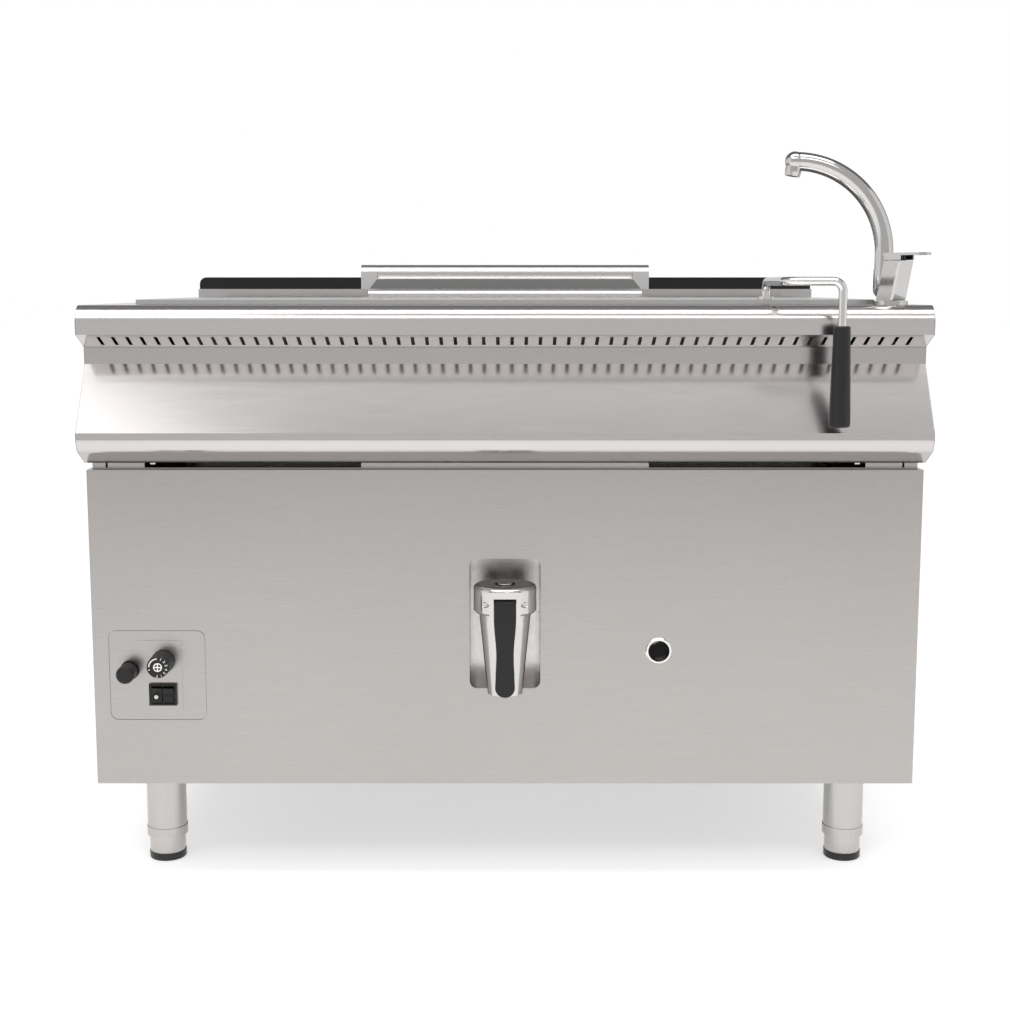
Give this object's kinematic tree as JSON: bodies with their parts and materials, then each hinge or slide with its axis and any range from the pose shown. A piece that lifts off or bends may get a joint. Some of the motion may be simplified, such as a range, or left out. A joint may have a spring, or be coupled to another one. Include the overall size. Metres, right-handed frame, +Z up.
{
  "type": "gas boiling pan",
  "caption": "Large gas-heated boiling pan on legs with a rectangular well, balanced hinged lid, lever drain tap, gas controls and a swivel water mixer.",
  "frame": {"origin": "Centre of the bounding box, on the floor under the four feet", "axes": "+X to the right seen from the front, -Y towards the person at the pan, +Z up"},
  "size_m": [1.2, 0.9656, 1.0658],
  "materials": {
    "frame_steel": "matte",
    "satin_steel": "satin",
    "bright_steel": "satin",
    "polished_steel": "gloss",
    "spring_steel": "satin",
    "chrome": "gloss",
    "brass": "satin",
    "copper_pipe": "satin",
    "black_iron": "matte",
    "black_plastic": "satin"
  },
  "bodies": {
    "cabinet": {"base_frame": "frame_steel", "side_panel_left": "satin_steel", "side_panel_right": "satin_steel", "rear_panel": "satin_steel", "front_panel": "satin_steel", "top_frame": "satin_steel", "worktop": "bright_steel", "fascia": "bright_steel", "crown_side_left": "bright_steel", "crown_side_right": "bright_steel", "crown_screws": "polished_steel", "well": "bright_steel", "strainer": "polished_steel", "burner_box": "frame_steel", "burners": "frame_steel", "gas_manifold": "brass", "gas_valve": "brass", "gas_inlet_pipe": "frame_steel", "flue_duct": "frame_steel", "flue_box": "satin_steel", "flue_cover_left": "black_iron", "flue_cover_right": "black_iron", "hinge_cheeks": "polished_steel", "hinge_shaft": "polished_steel", "balance_springs": "spring_steel", "drain_pipe": "satin_steel", "tap_recess": "satin_steel", "tap_body": "chrome", "tap_pin": "polished_steel", "control_plate": "satin_steel", "igniter_body": "black_plastic", "switch_body": "black_plastic", "sight_bush": "polished_steel", "mixer_base": "chrome", "water_pipes": "copper_pipe", "leg_tubes": "polished_steel"},
    "lid": {"lid_skin": "bright_steel", "lid_tray": "satin_steel", "hinge_strap": "polished_steel", "handle_rod": "polished_steel", "handle_grip": "black_plastic"},
    "drain_lever": {"tap_lever": "black_plastic"},
    "drain_valve": {"tap_stem": "polished_steel"},
    "spindle": {"valve_spindle": "polished_steel"},
    "knob": {"gas_knob": "black_plastic", "knob_cap": "polished_steel"},
    "igniter": {"igniter_button": "black_plastic"},
    "switch_left": {"rocker_left": "black_plastic"},
    "switch_right": {"rocker_right": "black_plastic"},
    "mixer": {"mixer_column": "chrome", "swan_neck": "chrome", "outlet_nozzle": "chrome"},
    "cartridge": {"mixer_cartridge": "black_plastic"},
    "mixer_handle": {"mixer_lever": "chrome"},
    "foot_1": {"foot_front_left": "polished_steel"},
    "foot_2": {"foot_front_right": "polished_steel"},
    "foot_3": {"foot_rear_left": "polished_steel"},
    "foot_4": {"foot_rear_right": "polished_steel"}
  },
  "joints": [
    {"name": "lid_hinge", "type": "hinge", "parent": "cabinet", "child": "lid", "pos_m": [0, 0.395, 0.901], "axis": [-1, 0, 0], "range_deg": [0, 85], "stiffness_Nm_per_rad": 40, "springref_deg": 91.67},
    {"name": "drain_lever_lift", "type": "hinge", "parent": "cabinet", "child": "drain_lever", "pos_m": [0, -0.46, 0.431], "axis": [-1, 0, 0], "range_deg": [0, 90]},
    {"name": "drain_valve_slide", "type": "slide", "parent": "cabinet", "child": "drain_valve", "axis": [0, 0, -1], "range_m": [0, 0.01]},
    {"name": "knob_push", "type": "slide", "parent": "cabinet", "child": "spindle", "axis": [0, 1, 0], "range_m": [0, 0.004], "stiffness_N_per_m": 600, "springref_m": -0.003},
    {"name": "knob_turn", "type": "hinge", "parent": "spindle", "child": "knob", "pos_m": [-0.498, -0.42, 0.335], "axis": [0, -1, 0], "range_deg": [0, 270]},
    {"name": "igniter_press", "type": "slide", "parent": "cabinet", "child": "igniter", "axis": [0, 1, 0], "range_m": [0, 0.006], "stiffness_N_per_m": 500, "springref_m": -0.003},
    {"name": "switch_left_tilt", "type": "hinge", "parent": "cabinet", "child": "switch_left", "pos_m": [-0.5075, -0.4008, 0.286], "axis": [1, 0, 0], "range_deg": [-8, 8]},
    {"name": "switch_right_tilt", "type": "hinge", "parent": "cabinet", "child": "switch_right", "pos_m": [-0.4905, -0.4008, 0.286], "axis": [1, 0, 0], "range_deg": [-8, 8]},
    {"name": "mixer_swivel", "type": "hinge", "parent": "cabinet", "child": "mixer", "pos_m": [0.548, -0.382, 0.86], "axis": [0, 0, 1], "range_deg": [-100, 60]},
    {"name": "mixer_turn", "type": "hinge", "parent": "mixer", "child": "cartridge", "pos_m": [0.55488, -0.39183, 0.91], "axis": [0, 0, 1], "range_deg": [-45, 45]},
    {"name": "mixer_lift", "type": "hinge", "parent": "cartridge", "child": "mixer_handle", "pos_m": [0.54743, -0.38118, 0.916], "axis": [-0.8192, -0.5736, 0], "range_deg": [0, 25]},
    {"name": "foot_1_height", "type": "slide", "parent": "cabinet", "child": "foot_1", "axis": [0, 0, -1], "range_m": [0, 0.03]},
    {"name": "foot_2_height", "type": "slide", "parent": "cabinet", "child": "foot_2", "axis": [0, 0, -1], "range_m": [0, 0.03]},
    {"name": "foot_3_height", "type": "slide", "parent": "cabinet", "child": "foot_3", "axis": [0, 0, -1], "range_m": [0, 0.03]},
    {"name": "foot_4_height", "type": "slide", "parent": "cabinet", "child": "foot_4", "axis": [0, 0, -1], "range_m": [0, 0.03]}
  ],
  "couplings": [
    {"joint": "drain_valve_slide", "follows": "drain_lever_lift", "m_per_rad": 0.0063}
  ]
}
